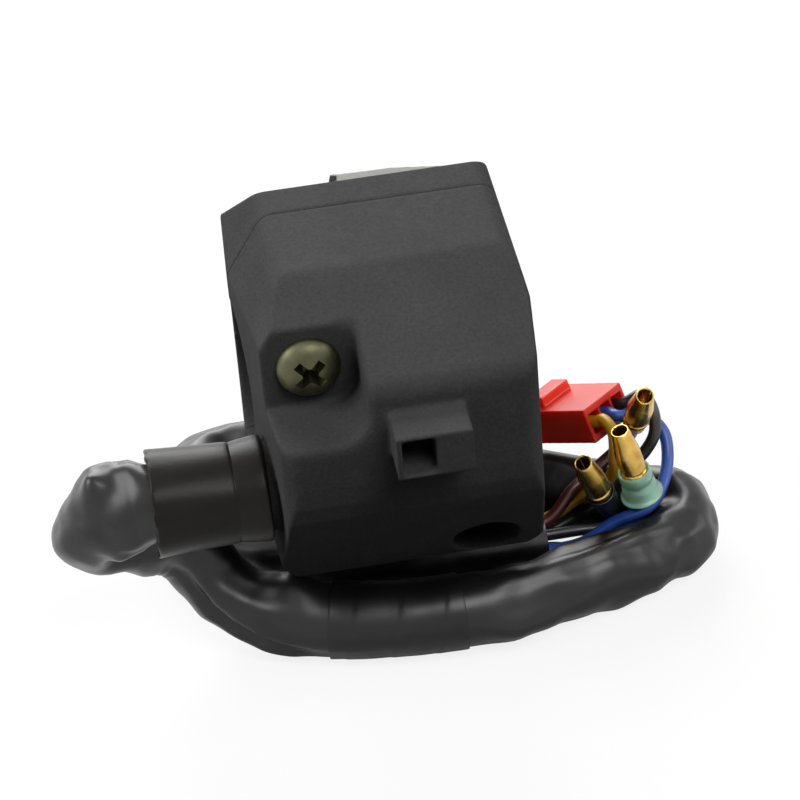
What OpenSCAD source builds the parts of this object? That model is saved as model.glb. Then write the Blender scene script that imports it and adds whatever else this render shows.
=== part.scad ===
// Handlebar switch cluster: a two-half housing clamped round a handlebar, with a beam
// rocker, a turn signal slide and a horn button, and a sleeved harness with its connectors.
// X runs along the bar, +Y faces the rider, +Z is up. The origin is on the bar's axis.

/* [Bar clamp] */
// Handlebar diameter
bar_d = 22.2; // [22:0.1:25.4]
// Gap between the bar and the clamp bore, on the radius
bar_gap = 0.05; // [0:0.01:0.1]
// Thickness of the half tube round the bar
liner_t = 1.6; // [1.4:0.1:2]

/* [Housing] */
// Housing width along the bar
body_w = 41; // [40:0.5:46]
// Height of the housing above the bar's axis
top_h = 24.2; // [24:0.1:25.4]
// Depth of the housing below the bar's axis
bottom_h = 25.5; // [25:0.1:25.6]
// Depth of the front half
front_d = 34.4; // [33:0.1:36]
// Depth of the rear half
rear_d = 25; // [24.6:0.1:26]
// Distance from the bar's axis to the sloping face
slope_d = 21.355; // [21.3:0.005:21.6]
// Wall thickness
wall = 2.2; // [1.8:0.1:2.4]

/* [Housing screws] */
// Screw thread diameter
screw_d = 5; // [4:0.1:5]
// Screw head diameter
head_d = 8.8; // [8:0.1:9.4]
// Screw head height
head_h = 2.6; // [2:0.1:3]
// Distance from the bar's axis to the upper screw
screw_up = 14.8; // [14.8:0.1:15.4]
// Distance from the bar's axis to the lower screw
screw_low = 18.5; // [17.5:0.1:18.5]

/* [Front socket] */
// Width of the square socket's boss
boss_w = 10.3; // [9:0.1:11]
// Height of the square socket's boss
boss_h = 6.8; // [5.6:0.1:7.4]
// Length of the square socket's boss
boss_l = 6.3; // [4:0.1:8]

/* [Beam rocker] */
// Rocker length along the bar
rocker_w = 18.8; // [16:0.1:19]
// Rocker height along the sloping face
rocker_h = 9; // [7:0.1:9.4]
// How far the rocker stands out of the sloping face
rocker_out = 1.5; // [1.5:0.1:3]
// Rocker travel each side of level, in degrees
rocker_tilt = 4; // [2:0.5:4.5]
// Gap round the rocker
rocker_gap = 0.9; // [0.8:0.1:1]

/* [Turn slide] */
// Slide travel each side of the middle
slide_travel = 4; // [2:0.5:4.5]
// Knob width
knob_w = 11; // [8:0.5:13]
// Knob height
knob_h = 7; // [5:0.5:7.5]

/* [Horn button] */
// Button diameter
horn_d = 11; // [9:0.1:11.4]
// Button travel
horn_travel = 2; // [1:0.1:2.2]
// Gap round the button
horn_gap = 0.25; // [0.2:0.05:0.4]

/* [Harness] */
// Sleeve diameter
sleeve_d = 10.4; // [9.6:0.1:10.4]
// Wire diameter
wire_d = 1.8; // [1.6:0.1:2]
// Outer diameter of the outlet boot at its waist
boot_d = 13.6; // [13.4:0.1:14.4]
// Length of the outlet boot
boot_l = 16; // [14:0.5:17]

/* [Connectors] */
// Width of the wire connector
conn_w = 8.6; // [8.5:0.1:9.4]
// Length of the wire connector
conn_l = 12.4; // [11:0.1:13]
// Height of the wire connector
conn_h = 5.4; // [5.2:0.1:5.6]
// Diameter of the bullet terminals
bullet_d = 3.8; // [3.4:0.1:4]

/* [Hidden] */
$fn = 48;
half_w = body_w / 2;
bore_r = bar_d / 2 + bar_gap;
liner_r = bore_r + liner_t;
eps = 0.01;
screw_x = -12.25;
low_x = 10;
seat_y = -23.6;
low_seat_y = -13;
insert_r = 3.3;
insert_l = 7;
insert_y = 2;
post_r = 1.9;
peg_d = 1.6;
peg_gap = 0.05;
clear = 0.3;

// Middle of the sloping face, where the beam rocker sits
slope_in = slope_d / sqrt(2);
slope_y = slope_in;
slope_z = slope_in;
rocker_x = 5;
rocker_y = 8.034 - (top_h - slope_z) * sqrt(2);
pin_r = 1;
pin_gap = 0.04;
pin_z = -4.2;
lug_t = 1.5;
base_t = 1.6;
beam_base_z = -6.2;
beam_post_x = [rocker_x - 10.4, rocker_x + 10.4];
rocker_stem = rocker_w - 2;
beam_post_r = 1.5;

turn_z = -2;
rear_in = rear_d - wall;
carriage_t = 2.2;
carriage_w = 16;
carriage_h = 10;
carriage_y = rear_in - carriage_t - 1.2;
turn_base_y = carriage_y - base_t - 1.2;
turn_post_x = 14;
stem_w = 5;
stem_h = 4;

horn_z = -14;
horn_base_y = rear_d - 12;
horn_flange_t = 1.6;
horn_flange_r = horn_d / 2 + 0.8;
horn_in = rear_in - clear;
horn_post_x = 9.5;

spout_y = -22;
spout_z = -5.5;
spout_r = 6;
spout_end = -26;
boot_start = -19.4;
sleeve_r = sleeve_d / 2;
wire_r = wire_d / 2;

conn_at = [28.9, 3.3, -20];
conn_pitch = 24;
conn_yaw = -50;
cavity_pitch = 2.6;
bullet_r = bullet_d / 2;

// Route of the sleeve's centre line: out of the boot, round the elbow, along the front,
// round the right, back behind the housing, round the left and under the housing again
elbow_at = [-38.3, -18.3, -10.8];
elbow_side = [0, 0.55, -0.835];
fold_at = [34.4, -10.8, -31.2];
turn_r = 6.2;
function elbow(a) = elbow_at - turn_r * (elbow_side * cos(a) + [1, 0, 0] * sin(a));
function fold(a) = fold_at + turn_r * [cos(a), sin(a), 0];
sleeve_route = [
    [-26.2, -22, -5.5], [-29, -22, -5.5], [-32, -22, -5.5], [-35.2, -21.9, -5.5],
    for (a = [0 : 30 : 150]) elbow(a),
    [-38.2, -14.4, -16.4], [-34.6, -13.4, -17.6], [-31, -13.4, -20.4], [-28.6, -15, -24.6],
    [-25, -17, -28.2], [-19.6, -19.2, -30.6], [-12.8, -21.4, -31.2], [-3.4, -23.2, -31.2],
    [5.6, -23.8, -31.2], [16, -22.6, -31.2], [25.4, -20.2, -31.2], [30.4, -18.8, -31.2],
    [33.4, -17.7, -31.2],
    for (a = [-70 : 30 : 80]) fold(a),
    [32.6, -3.9, -31.2], [29.6, -2.2, -31.2], [26, 0.6, -31.2], [20, 3.8, -31.2],
    [12, 7.6, -31.2], [-1, 13.8, -31.2], [-12, 19, -31.2], [-20.6, 21.6, -31.2],
    [-27.2, 18.6, -31.2], [-29.8, 11, -31.2], [-27, 2.6, -31.2], [-20, -3.4, -31.2],
    [-8, -7, -31.2], [4, -8.8, -31.2], [13, -9.2, -31.2], [20, -9, -31.2]
];
sleeve_path = soften(soften(soften(spline(sleeve_route, 3))));
// Stretch of the sleeve that the tape covers, counted in rings
tape_from = 48;
tape_to = 54;

// Bullet terminals: base point and tip point of each
bullet_a = [[35.1, -4.5, -17.6], [35.7, -10.4, -8.4]];
bullet_b = [[33.9, -12.6, -22.2], [31.3, -13.4, -11.5]];
bullet_c = [[28.9, -11.5, -24.5], [25.5, -15.3, -14.8]];
bullet_l = 11;

function unit(v) = v / norm(v);
function mid(a, b, t) = a + (b - a) * t;

// Point of the connector, given in its own frame
function con(v) =
    let (
        a = -conn_pitch,
        x = v.x * cos(a) + v.z * sin(a),
        z = -v.x * sin(a) + v.z * cos(a)
    )
    conn_at + [x * cos(conn_yaw) - v.y * sin(conn_yaw), x * sin(conn_yaw) + v.y * cos(conn_yaw), z];

// Point at a distance along a bullet's axis, counted from its base towards its tip
function on_bullet(b, s) = b[0] + unit(b[1] - b[0]) * s;

yellow_route = [
    [6, -7.5, -30], [13, -7.5, -30], [20.4, -7.5, -30], [25.2, -6.9, -28], [30.6, -8, -23.7],
    [31.5, -7.4, -20.5], [31.8, -5.8, -17.6], con([7, -cavity_pitch, 0.2]), con([5.6, -cavity_pitch, 0]),
    con([3.6, -cavity_pitch, 0])
];
blue_route = [
    [6, -11.7, -32.4], [13, -11.7, -32.4], [20.4, -11.7, -32.4], [25.4, -12.8, -31], [30, -13.1, -28],
    [34.6, -14, -25.6], [37.4, -10.8, -25.2], [39.4, -6.6, -23.4], [39.6, -3.2, -20.6], [37.2, -0.8, -19],
    con([7.4, 0, -0.6]), con([5.6, 0, 0]), con([3.6, 0, 0])
];
black_route = [
    [6, -7.5, -32.4], [13, -7.5, -32.4], [20.4, -7.5, -32.4], [25, -6.9, -31], [28.3, -8, -28.4],
    [31.8, -6.4, -25.2], [34.2, -5.4, -24.2], [36.6, -4.9, -22.2], [38.1, -4.5, -19.4], [38.2, -2.8, -16.6],
    [37.2, -0.4, -15.6], con([7.4, cavity_pitch, 0.4]), con([5.6, cavity_pitch, 0]),
    con([3.6, cavity_pitch, 0])
];
red_route = [
    [6, -9.6, -28.8], [13, -9.6, -28.8], [20.4, -9.6, -28.8], [25, -7.6, -25.4], [29.6, -4.6, -24],
    [33.2, -2.2, -23], on_bullet(bullet_a, -3.6), on_bullet(bullet_a, -1.6), on_bullet(bullet_a, 0.5)
];
green_route = [
    [6, -9.6, -33.6], [13, -9.6, -33.6], [20.4, -9.6, -33.6], [25, -11, -33.4], [29.4, -12.4, -31.4],
    [32.6, -11, -29.4], [34.2, -11, -26.6], on_bullet(bullet_b, -2), on_bullet(bullet_b, 0.5)
];
dark_route = [
    [6, -9.6, -31.2], [13, -9.6, -31.2], [20.4, -9.6, -31.2], [25, -9.8, -31], [28.8, -9.8, -31],
    on_bullet(bullet_c, -5.4), on_bullet(bullet_c, -3.6), on_bullet(bullet_c, -1.6), on_bullet(bullet_c, 0.5)
];
loom_route = [
    [-26, -22, -5.5], [-18, -22, -5.5], [-10, -22.4, -3], [-2, -22, 4], [4, -18, 11.4],
    [6, -10, 16.6], [6, -3, 17.6], [6, 1.6, 17.3]
];

function spline(p, steps) = [
    for (i = [0 : len(p) - 2])
        let (
            a = p[max(i - 1, 0)],
            b = p[i],
            c = p[i + 1],
            d = p[min(i + 2, len(p) - 1)]
        )
        for (k = [0 : steps - 1])
            let (t = k / steps)
            0.5 * (2 * b + (c - a) * t + (2 * a - 5 * b + 4 * c - d) * t * t
                + (3 * b - a - 3 * c + d) * t * t * t),
    p[len(p) - 1]
];

// Evens out the bends of a path
function soften(p) = [
    p[0],
    for (i = [1 : len(p) - 2]) (p[i - 1] + 2 * p[i] + p[i + 1]) / 4,
    p[len(p) - 1]
];

function tangent(p, i) = unit(p[min(i + 1, len(p) - 1)] - p[max(i - 1, 0)]);
function across(n, t) = unit(n - t * (n * t));
function normals(p) = [
    for (i = 0, n = across([0.1, 0.2, 1], tangent(p, 0)); i < len(p);
        i = i + 1, n = across(n, tangent(p, min(i, len(p) - 1)))) n
];
function ring(p, i, n, r, sides) = [
    for (j = [0 : sides - 1])
        p[i] + r * (cos(360 * j / sides) * n + sin(360 * j / sides) * cross(tangent(p, i), n))
];

function corner(a, b, c, r) =
    let (
        u = unit(a - b),
        v = unit(c - b),
        half = acos(u * v) / 2,
        m = b + unit(u + v) * r / sin(half),
        p = b + u * r / tan(half) - m,
        q = b + v * r / tan(half) - m,
        a0 = atan2(p.y, p.x),
        turn = (atan2(q.y, q.x) - a0 + 540) % 360 - 180,
        n = max(2, ceil(abs(turn) / 15))
    )
    [for (i = [0 : n]) m + r * [cos(a0 + turn * i / n), sin(a0 + turn * i / n)]];

// Polygon points from a list of [x, y, corner radius]
function rounded(p) = [
    for (i = [0 : len(p) - 1])
        let (
            k = len(p),
            a = [p[(i + k - 1) % k].x, p[(i + k - 1) % k].y],
            b = [p[i].x, p[i].y],
            c = [p[(i + 1) % k].x, p[(i + 1) % k].y]
        )
        each (p[i].z == 0 ? [b] : corner(a, b, c, p[i].z))
];

// Outlines of the housing, each set in by t
function face_outline(t) = [
    [-half_w + 5.75 + 0.45 * t, top_h - t, 3],
    [half_w - 3.05 - 0.8 * t, top_h - t, 3],
    [half_w - 0.9 - t, 13.4, 8],
    [half_w - t, 0, 20],
    [half_w - t, -16, 4],
    [half_w - 5 - 0.6 * t, t - bottom_h, 4],
    [-half_w + 5 + 0.6 * t, t - bottom_h, 4],
    [-half_w + t, -16, 4],
    [-half_w + t, 15.2 - 0.5 * t, 3]
];
function front_side(t, e) = [
    [e, top_h - t, 0],
    [-15.1, top_h - t, 4],
    [t - front_d, top_h - 7.6 - 0.55 * t, 3.2],
    [t - front_d, -3, 16],
    [-19 + 0.3 * t, t - bottom_h, 8],
    [e, t - bottom_h, 0]
];
function rear_side(t, e) = [
    [-e, top_h - t, 0],
    [2 * slope_in - top_h - 0.414 * t, top_h - t, 1.2],
    [rear_d - t, 2 * slope_in - rear_d - 0.414 * t, 3],
    [rear_d - t, -19, 5],
    [19 - 0.5 * t, t - bottom_h, 5],
    [-e, t - bottom_h, 0]
];
function front_plan(t, e) = [
    [-half_w + t, e, 0],
    [-half_w + 2.75 + t, -front_d, 2.5],
    [half_w - 3.4 - t, -front_d, 2.5],
    [half_w - t, e, 0]
];
function rear_plan(t, e) = [
    [half_w - t, -e, 0],
    [half_w - 1.5 - t, rear_d, 3],
    [-half_w + 1.5 + t, rear_d, 3],
    [-half_w + t, -e, 0]
];

module along_x(pts, x0, x1) {
    translate([x0, 0, 0]) rotate([90, 0, 90]) linear_extrude(x1 - x0) polygon(rounded(pts));
}

module along_y(pts, y0, y1) {
    translate([0, y1, 0]) rotate([90, 0, 0]) linear_extrude(y1 - y0) polygon(rounded(pts));
}

module front_block(t, e) {
    intersection() {
        along_x(front_side(t, e), -40, 40);
        along_y(face_outline(t), -60, 20);
        translate([0, 0, -60]) linear_extrude(120) polygon(rounded(front_plan(t, e)));
    }
}

module rear_block(t, e) {
    intersection() {
        along_x(rear_side(t, e), -40, 40);
        along_y(face_outline(t), -20, 60);
        translate([0, 0, -60]) linear_extrude(120) polygon(rounded(rear_plan(t, e)));
    }
}

module rod_y(x, z, r, y0, y1) {
    translate([x, y0, z]) rotate([-90, 0, 0]) cylinder(r = r, h = y1 - y0);
}

module rod_x(y, z, r, x0, x1) {
    translate([x0, y, z]) rotate([0, 90, 0]) cylinder(r = r, h = x1 - x0);
}

// Puts children on the sloping face: Y runs down the slope, Z stands out of it
module on_slope() {
    translate([0, slope_y, slope_z]) rotate([-45, 0, 0]) children();
}

module block(x0, x1, y0, y1, z0, z1) {
    translate([x0, y0, z0]) cube([x1 - x0, y1 - y0, z1 - z0]);
}

// Solid tube of even thickness along a path
module tube(p, r, sides) {
    n = normals(p);
    m = len(p);
    polyhedron(
        points = [for (i = [0 : m - 1]) each ring(p, i, n[i], r, sides)],
        faces = [
            [for (j = [0 : sides - 1]) j],
            for (i = [0 : m - 2])
                for (j = [0 : sides - 1])
                    let (k = (j + 1) % sides)
                    each [
                        [i * sides + j, (i + 1) * sides + j, (i + 1) * sides + k],
                        [i * sides + j, (i + 1) * sides + k, i * sides + k]
                    ],
            [for (j = [sides - 1 : -1 : 0]) (m - 1) * sides + j]
        ]
    );
}

// Screw notch, open to the left, the top and the front, grown by g
module notch(g) {
    along_y([
        [-60, 8.5 - g, 0],
        [screw_x + 6.6 + g, 8.5 - g, 4.6 + g],
        [screw_x + 6.6 + g, 60, 0],
        [-60, 60, 0]
    ], -60, seat_y + g);
}

module front_housing() {
    boss_x = -3.25;
    boss_z = 13 - boss_h;
    color([0.09, 0.09, 0.09]) difference() {
        union() {
            intersection() {
                front_block(0, 0);
                union() {
                    difference() {
                        front_block(0, 0);
                        front_block(wall, 1);
                    }
                    notch(2);
                    rod_x(0, 0, liner_r, -30, 30);
                    rod_y(screw_x, screw_up, 4, seat_y, 0);
                    rod_y(low_x, -screw_low, head_d / 2 + 2, -60, low_seat_y + 2);
                    rod_y(low_x, -screw_low, 4.2, low_seat_y, 0);
                }
            }
            block(boss_x, boss_x + boss_w, -front_d - boss_l, eps - front_d, boss_z, boss_z + boss_h);
            rod_x(spout_y, spout_z, spout_r, spout_end, 3 - half_w);
        }
        notch(0);
        rod_x(0, 0, bore_r, -40, 40);
        rod_y(screw_x, screw_up, screw_d / 2 + 0.1, -60, 10);
        rod_y(low_x, -screw_low, screw_d / 2 + 0.1, -60, 10);
        rod_y(low_x, -screw_low, head_d / 2 + 0.4, -60, low_seat_y);
        rod_x(spout_y, spout_z, 4.6, -40, 9 - half_w);
        block(boss_x + 0.75, boss_x + 5.3, -60, -front_d - 0.6, boss_z + 0.7, boss_z + boss_h - 0.7);
    }
}

module rear_housing() {
    turn_slot = stem_w + 2 * slide_travel + 1;
    color([0.1, 0.1, 0.1]) difference() {
        union() {
            intersection() {
                rear_block(0, 0);
                union() {
                    difference() {
                        rear_block(0, 0);
                        rear_block(wall, 1);
                    }
                    rod_x(0, 0, liner_r, -30, 30);
                    rod_y(screw_x, screw_up, 4, 0, insert_y + insert_l + 1.4);
                    rod_y(low_x, -screw_low, 4.2, 0, insert_y + insert_l + 1.4);
                    block(low_x - 2, low_x + 2, 0, insert_y + insert_l + 1.4, 1 - bottom_h, -screw_low);
                    for (x = beam_post_x)
                        on_slope() translate([x, rocker_y, beam_base_z]) cylinder(r = beam_post_r, h = 6);
                    for (x = [-turn_post_x, turn_post_x])
                        rod_y(x, turn_z, post_r, turn_base_y + base_t, rear_d - 1);
                    for (x = [-horn_post_x, horn_post_x])
                        rod_y(x, horn_z, post_r, horn_base_y + base_t, rear_d - 1);
                }
            }
        }
        rod_x(0, 0, bore_r, -40, 40);
        rod_y(screw_x, screw_up, insert_r, -1, insert_y + insert_l);
        rod_y(low_x, -screw_low, insert_r, -1, insert_y + insert_l);
        on_slope() block(
            rocker_x - rocker_stem / 2 - rocker_gap, rocker_x + rocker_stem / 2 + rocker_gap,
            rocker_y - rocker_h / 2 - clear, rocker_y + rocker_h / 2 + clear, -wall - 1, 5
        );
        for (x = beam_post_x)
            on_slope() translate([x, rocker_y, -9]) cylinder(d = peg_d + 2 * peg_gap, h = 6);
        block(-turn_slot / 2, turn_slot / 2, rear_in - 1, 40, turn_z - stem_h / 2 - clear,
            turn_z + stem_h / 2 + clear);
        for (x = [-turn_post_x, turn_post_x])
            rod_y(x, turn_z, peg_d / 2 + peg_gap, turn_base_y - 1, turn_base_y + 5.6);
        rod_y(0, horn_z, horn_d / 2 + horn_gap, rear_in - 1, 40);
        rod_y(0, horn_z, horn_flange_r + clear, horn_base_y + base_t, rear_in);
        for (x = [-horn_post_x, horn_post_x])
            rod_y(x, horn_z, peg_d / 2 + peg_gap, horn_base_y - 1, horn_base_y + 5.6);
    }
}

module housing_screw(x, z, y0, y1) {
    difference() {
        union() {
            rod_y(x, z, screw_d / 2, y0 - 0.2, y1);
            translate([x, y0, z]) rotate([90, 0, 0]) cylinder(d1 = head_d, d2 = head_d - 0.6, h = head_h - 1);
            translate([x, y0 - head_h + 1, z]) rotate([90, 0, 0])
                cylinder(d1 = head_d - 0.6, d2 = head_d - 4, h = 1);
        }
        block(x - 2.3, x + 2.3, y0 - head_h - 1, y0 - head_h + 1.4, z - 0.55, z + 0.55);
        block(x - 0.55, x + 0.55, y0 - head_h - 1, y0 - head_h + 1.4, z - 2.3, z + 2.3);
    }
}

module housing_screws() {
    color([0.42, 0.42, 0.3]) {
        housing_screw(screw_x, screw_up, seat_y, insert_y + insert_l - 0.6);
        housing_screw(low_x, -screw_low, low_seat_y, insert_y + insert_l - 0.6);
    }
}

module thread_insert(x, z) {
    difference() {
        rod_y(x, z, insert_r - 0.02, insert_y, insert_y + insert_l);
        rod_y(x, z, screw_d / 2 + 0.02, insert_y - 1, insert_y + insert_l + 1);
    }
}

module thread_inserts() {
    color([0.72, 0.58, 0.25]) {
        thread_insert(screw_x, screw_up);
        thread_insert(low_x, -screw_low);
    }
}

module dimmer_rocker() {
    top = rocker_out - pin_z;
    color([0.68, 0.68, 0.66]) on_slope() translate([rocker_x, rocker_y, pin_z])
        rotate([0, rocker_tilt, 0]) difference() {
            union() {
                block(-rocker_stem / 2, rocker_stem / 2, -rocker_h / 2, rocker_h / 2, 1.6, 1 - pin_z);
                translate([0, rocker_h / 2, 0]) rotate([90, 0, 0]) linear_extrude(rocker_h) polygon([
                    [-rocker_w / 2, 0.85 - pin_z],
                    [rocker_w / 2, 0.85 - pin_z],
                    [rocker_w / 2, top - 0.4],
                    [0, top],
                    [-rocker_w / 2, top - 0.4]
                ]);
                translate([0, rocker_h / 2, 0]) rotate([90, 0, 0]) cylinder(r = 1.8, h = rocker_h);
                block(-1.8, 1.8, -rocker_h / 2, rocker_h / 2, 0, 2);
            }
            translate([0, rocker_h, 0]) rotate([90, 0, 0]) cylinder(r = pin_r + pin_gap, h = 2 * rocker_h);
        }
}

module dimmer_pivot_pin() {
    length = rocker_h + 2 * clear + 2 * lug_t;
    color([0.7, 0.7, 0.72]) on_slope() translate([rocker_x, rocker_y + length / 2, pin_z])
        rotate([90, 0, 0]) cylinder(r = pin_r, h = length);
}

module dimmer_base() {
    reach = rocker_h / 2 + clear;
    color([0.36, 0.22, 0.12]) on_slope() difference() {
        union() {
            translate([0, 0, beam_base_z - base_t]) linear_extrude(base_t) polygon([
                [beam_post_x[0] - 1.4, rocker_y - reach - lug_t],
                [beam_post_x[1], rocker_y - reach - lug_t],
                [beam_post_x[1] + 1.3, rocker_y - 2.6],
                [beam_post_x[1] + 1.3, rocker_y + reach + lug_t],
                [beam_post_x[0] - 1.4, rocker_y + reach + lug_t]
            ]);
            for (y = [rocker_y - reach - lug_t, rocker_y + reach])
                block(rocker_x - 3, rocker_x + 3, y, y + lug_t, beam_base_z - eps, -wall - 0.4);
        }
        translate([rocker_x, rocker_y + 20, pin_z]) rotate([90, 0, 0]) cylinder(r = pin_r + 0.01, h = 40);
        for (x = beam_post_x)
            translate([x, rocker_y, beam_base_z - 5]) cylinder(d = peg_d + 2 * peg_gap, h = 10);
    }
}

module dimmer_contacts() {
    color([0.75, 0.6, 0.28]) on_slope() for (x = [rocker_x - 6, rocker_x + 6]) {
        block(x - 1.2, x + 1.2, rocker_y - 3, rocker_y + 3, beam_base_z, beam_base_z + 0.5);
        block(x - 0.8, x + 0.8, rocker_y - 1.5, rocker_y + 1.5, beam_base_z + 0.4, beam_base_z + 2.2);
    }
}

module turn_knob() {
    color([0.13, 0.13, 0.13]) {
        along_y([
            [-knob_w / 2, turn_z - knob_h / 2, 1.5],
            [knob_w / 2, turn_z - knob_h / 2, 1.5],
            [knob_w / 2, turn_z + knob_h / 2, 1.5],
            [-knob_w / 2, turn_z + knob_h / 2, 1.5]
        ], rear_d + 1, rear_d + 5);
        block(-10, 10, rear_d + clear, rear_d + 1.2, turn_z - 4, turn_z + 4);
        block(-stem_w / 2, stem_w / 2, carriage_y + carriage_t, rear_d + 1, turn_z - stem_h / 2,
            turn_z + stem_h / 2);
    }
}

module turn_carriage() {
    color([0.86, 0.84, 0.78]) difference() {
        block(-carriage_w / 2, carriage_w / 2, carriage_y, carriage_y + carriage_t, turn_z - carriage_h / 2,
            turn_z + carriage_h / 2);
        for (x = [-5, 5])
            rod_y(x, turn_z, 1.2, carriage_y - 1, carriage_y + carriage_t + 1);
    }
}

module turn_base() {
    color([0.36, 0.22, 0.12]) difference() {
        block(-turn_post_x - 2.6, turn_post_x + 2.6, turn_base_y, turn_base_y + base_t, turn_z - 5.6,
            turn_z + 5.6);
        for (x = [-turn_post_x, turn_post_x])
            rod_y(x, turn_z, peg_d / 2 + peg_gap, turn_base_y - 1, turn_base_y + base_t + 1);
    }
}

module turn_contacts() {
    color([0.75, 0.6, 0.28]) for (x = [-7, 0, 7])
        block(x - 1.6, x + 1.6, turn_base_y + base_t, turn_base_y + base_t + 0.8, turn_z - 3, turn_z + 3);
}

module horn_button() {
    color([0.75, 0.6, 0.1]) {
        rod_y(0, horn_z, horn_d / 2, horn_in - 0.2, rear_d + 3);
        rod_y(0, horn_z, horn_flange_r, horn_in - horn_flange_t, horn_in);
        rod_y(0, horn_z, 1.4, horn_in - horn_flange_t - 1.6, horn_in - 1);
    }
}

module horn_spring() {
    length = horn_in - horn_flange_t - horn_base_y - base_t;
    turns = 4;
    r = 0.3;
    path = [
        for (i = [0 : turns * 12])
            let (a = 360 * i / 12, rise = (length - 2 * r - 0.04) * i / (turns * 12))
            [3.6 * cos(a), horn_base_y + base_t + r + 0.02 + rise, horn_z + 3.6 * sin(a)]
    ];
    color([0.75, 0.75, 0.76]) tube(path, r, 6);
}

module horn_base() {
    color([0.36, 0.22, 0.12]) difference() {
        block(-horn_post_x - 2.6, horn_post_x + 2.6, horn_base_y, horn_base_y + base_t, horn_z - 5.4,
            horn_z + 5.4);
        for (x = [-horn_post_x, horn_post_x])
            rod_y(x, horn_z, peg_d / 2 + peg_gap, horn_base_y - 1, horn_base_y + base_t + 1);
    }
}

module horn_contact() {
    color([0.75, 0.6, 0.28]) rod_y(0, horn_z, 1.6, horn_base_y + base_t, horn_base_y + base_t + 1.4);
}

module base_screw() {
    translate([0, 0, -0.6]) cylinder(r = 1.8, h = 0.6);
    translate([0, 0, -0.2]) cylinder(d = peg_d, h = 4.8);
}

module base_screws() {
    color([0.7, 0.7, 0.72]) {
        for (x = beam_post_x)
            on_slope() translate([x, rocker_y, beam_base_z - base_t]) base_screw();
        for (x = [-turn_post_x, turn_post_x])
            translate([x, turn_base_y, turn_z]) rotate([-90, 0, 0]) base_screw();
        for (x = [-horn_post_x, horn_post_x])
            translate([x, horn_base_y, horn_z]) rotate([-90, 0, 0]) base_screw();
    }
}

module inner_loom() {
    color([0.05, 0.05, 0.05]) tube(spline(loom_route, 2), 1.8, 8);
}

module outlet_boot() {
    end = boot_start - boot_l;
    color([0.1, 0.09, 0.08]) difference() {
        translate([boot_start, spout_y, spout_z]) rotate([0, -90, 0]) union() {
            cylinder(d1 = boot_d + 1.4, d2 = boot_d, h = 4.6);
            translate([0, 0, 4.6 - eps]) cylinder(d1 = boot_d, d2 = boot_d + 1.4, h = boot_l - 4.6);
        }
        rod_x(spout_y, spout_z, spout_r - 0.03, spout_end, 0);
        rod_x(spout_y, spout_z, sleeve_r - 0.06, end - 1, 0);
    }
}

module harness_sleeve() {
    color([0.06, 0.06, 0.06]) tube(sleeve_path, sleeve_r, 12);
}

module sleeve_tape() {
    sides = 12;
    part = [for (i = [tape_from : tape_to]) sleeve_path[i]];
    n = normals(sleeve_path);
    m = len(part);
    inner = [for (i = [tape_from : tape_to]) each ring(sleeve_path, i, n[i], sleeve_r, sides)];
    outer = [for (i = [tape_from : tape_to]) each ring(sleeve_path, i, n[i], sleeve_r + 0.3, sides)];
    k = m * sides;
    color([0.04, 0.04, 0.04]) polyhedron(
        points = concat(outer, inner),
        faces = [
            for (j = [0 : sides - 1])
                let (q = (j + 1) % sides)
                each [
                    [j, q, k + q],
                    [j, k + q, k + j],
                    [k - sides + q, k - sides + j, 2 * k - sides + j],
                    [k - sides + q, 2 * k - sides + j, 2 * k - sides + q],
                    for (i = [0 : m - 2])
                        let (a = i * sides + j, b = i * sides + q, c = a + sides, d = b + sides)
                        each [[a, c, d], [a, d, b], [k + a, k + d, k + c], [k + a, k + b, k + d]]
                ]
        ]
    );
}

module wire(route) {
    tube(spline(route, 3), wire_r, 8);
}

module yellow_wire() {
    color([0.75, 0.56, 0.06]) wire(yellow_route);
}

module blue_wire() {
    color([0.1, 0.2, 0.6]) wire(blue_route);
}

module black_wire() {
    color([0.08, 0.08, 0.08]) wire(black_route);
}

module red_lead() {
    color([0.6, 0.06, 0.05]) wire(red_route);
}

module green_lead() {
    color([0.2, 0.5, 0.3]) wire(green_route);
}

module dark_lead() {
    color([0.07, 0.07, 0.07]) wire(dark_route);
}

module on_connector() {
    translate(conn_at) rotate([0, -conn_pitch, conn_yaw]) children();
}

module connector_housing() {
    color([0.75, 0.08, 0.04]) on_connector() difference() {
        union() {
            block(5.4 - conn_l, 5.4, -conn_w / 2, conn_w / 2, -conn_h / 2, conn_h / 2);
            block(5.4 - conn_l, -3.7, -3, 3, conn_h / 2 - eps, conn_h / 2 + 1.5);
        }
        for (y = [-cavity_pitch, 0, cavity_pitch])
            block(4 - conn_l, 7, y - 1.1, y + 1.1, -1.6, 1.6);
        for (y = [-cavity_pitch, 0, cavity_pitch])
            block(4 - conn_l - 4, 7, y - 0.7, y + 0.7, -0.5, 0.5);
    }
}

module connector_terminals() {
    color([0.75, 0.6, 0.28]) on_connector() for (y = [-cavity_pitch, 0, cavity_pitch])
        block(-5, 4, y - 0.9, y + 0.9, -1.6, 0.9);
}

module bullet(b) {
    d = unit(b[1] - b[0]);
    translate(b[0]) rotate([0, acos(d.z), atan2(d.y, d.x)]) difference() {
        union() {
            cylinder(r = bullet_r * 0.92, h = 3.2);
            translate([0, 0, 3.2 - eps]) cylinder(r = bullet_r, h = 3.4);
            translate([0, 0, 6.6 - 2 * eps])
                cylinder(r1 = bullet_r, r2 = bullet_r * 0.7, h = bullet_l - 6.6);
        }
        translate([0, 0, 2]) cylinder(r = bullet_r * 0.54, h = bullet_l);
    }
}

module bullet_terminals() {
    color([0.75, 0.6, 0.28]) {
        bullet(bullet_a);
        bullet(bullet_b);
        bullet(bullet_c);
    }
}

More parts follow.
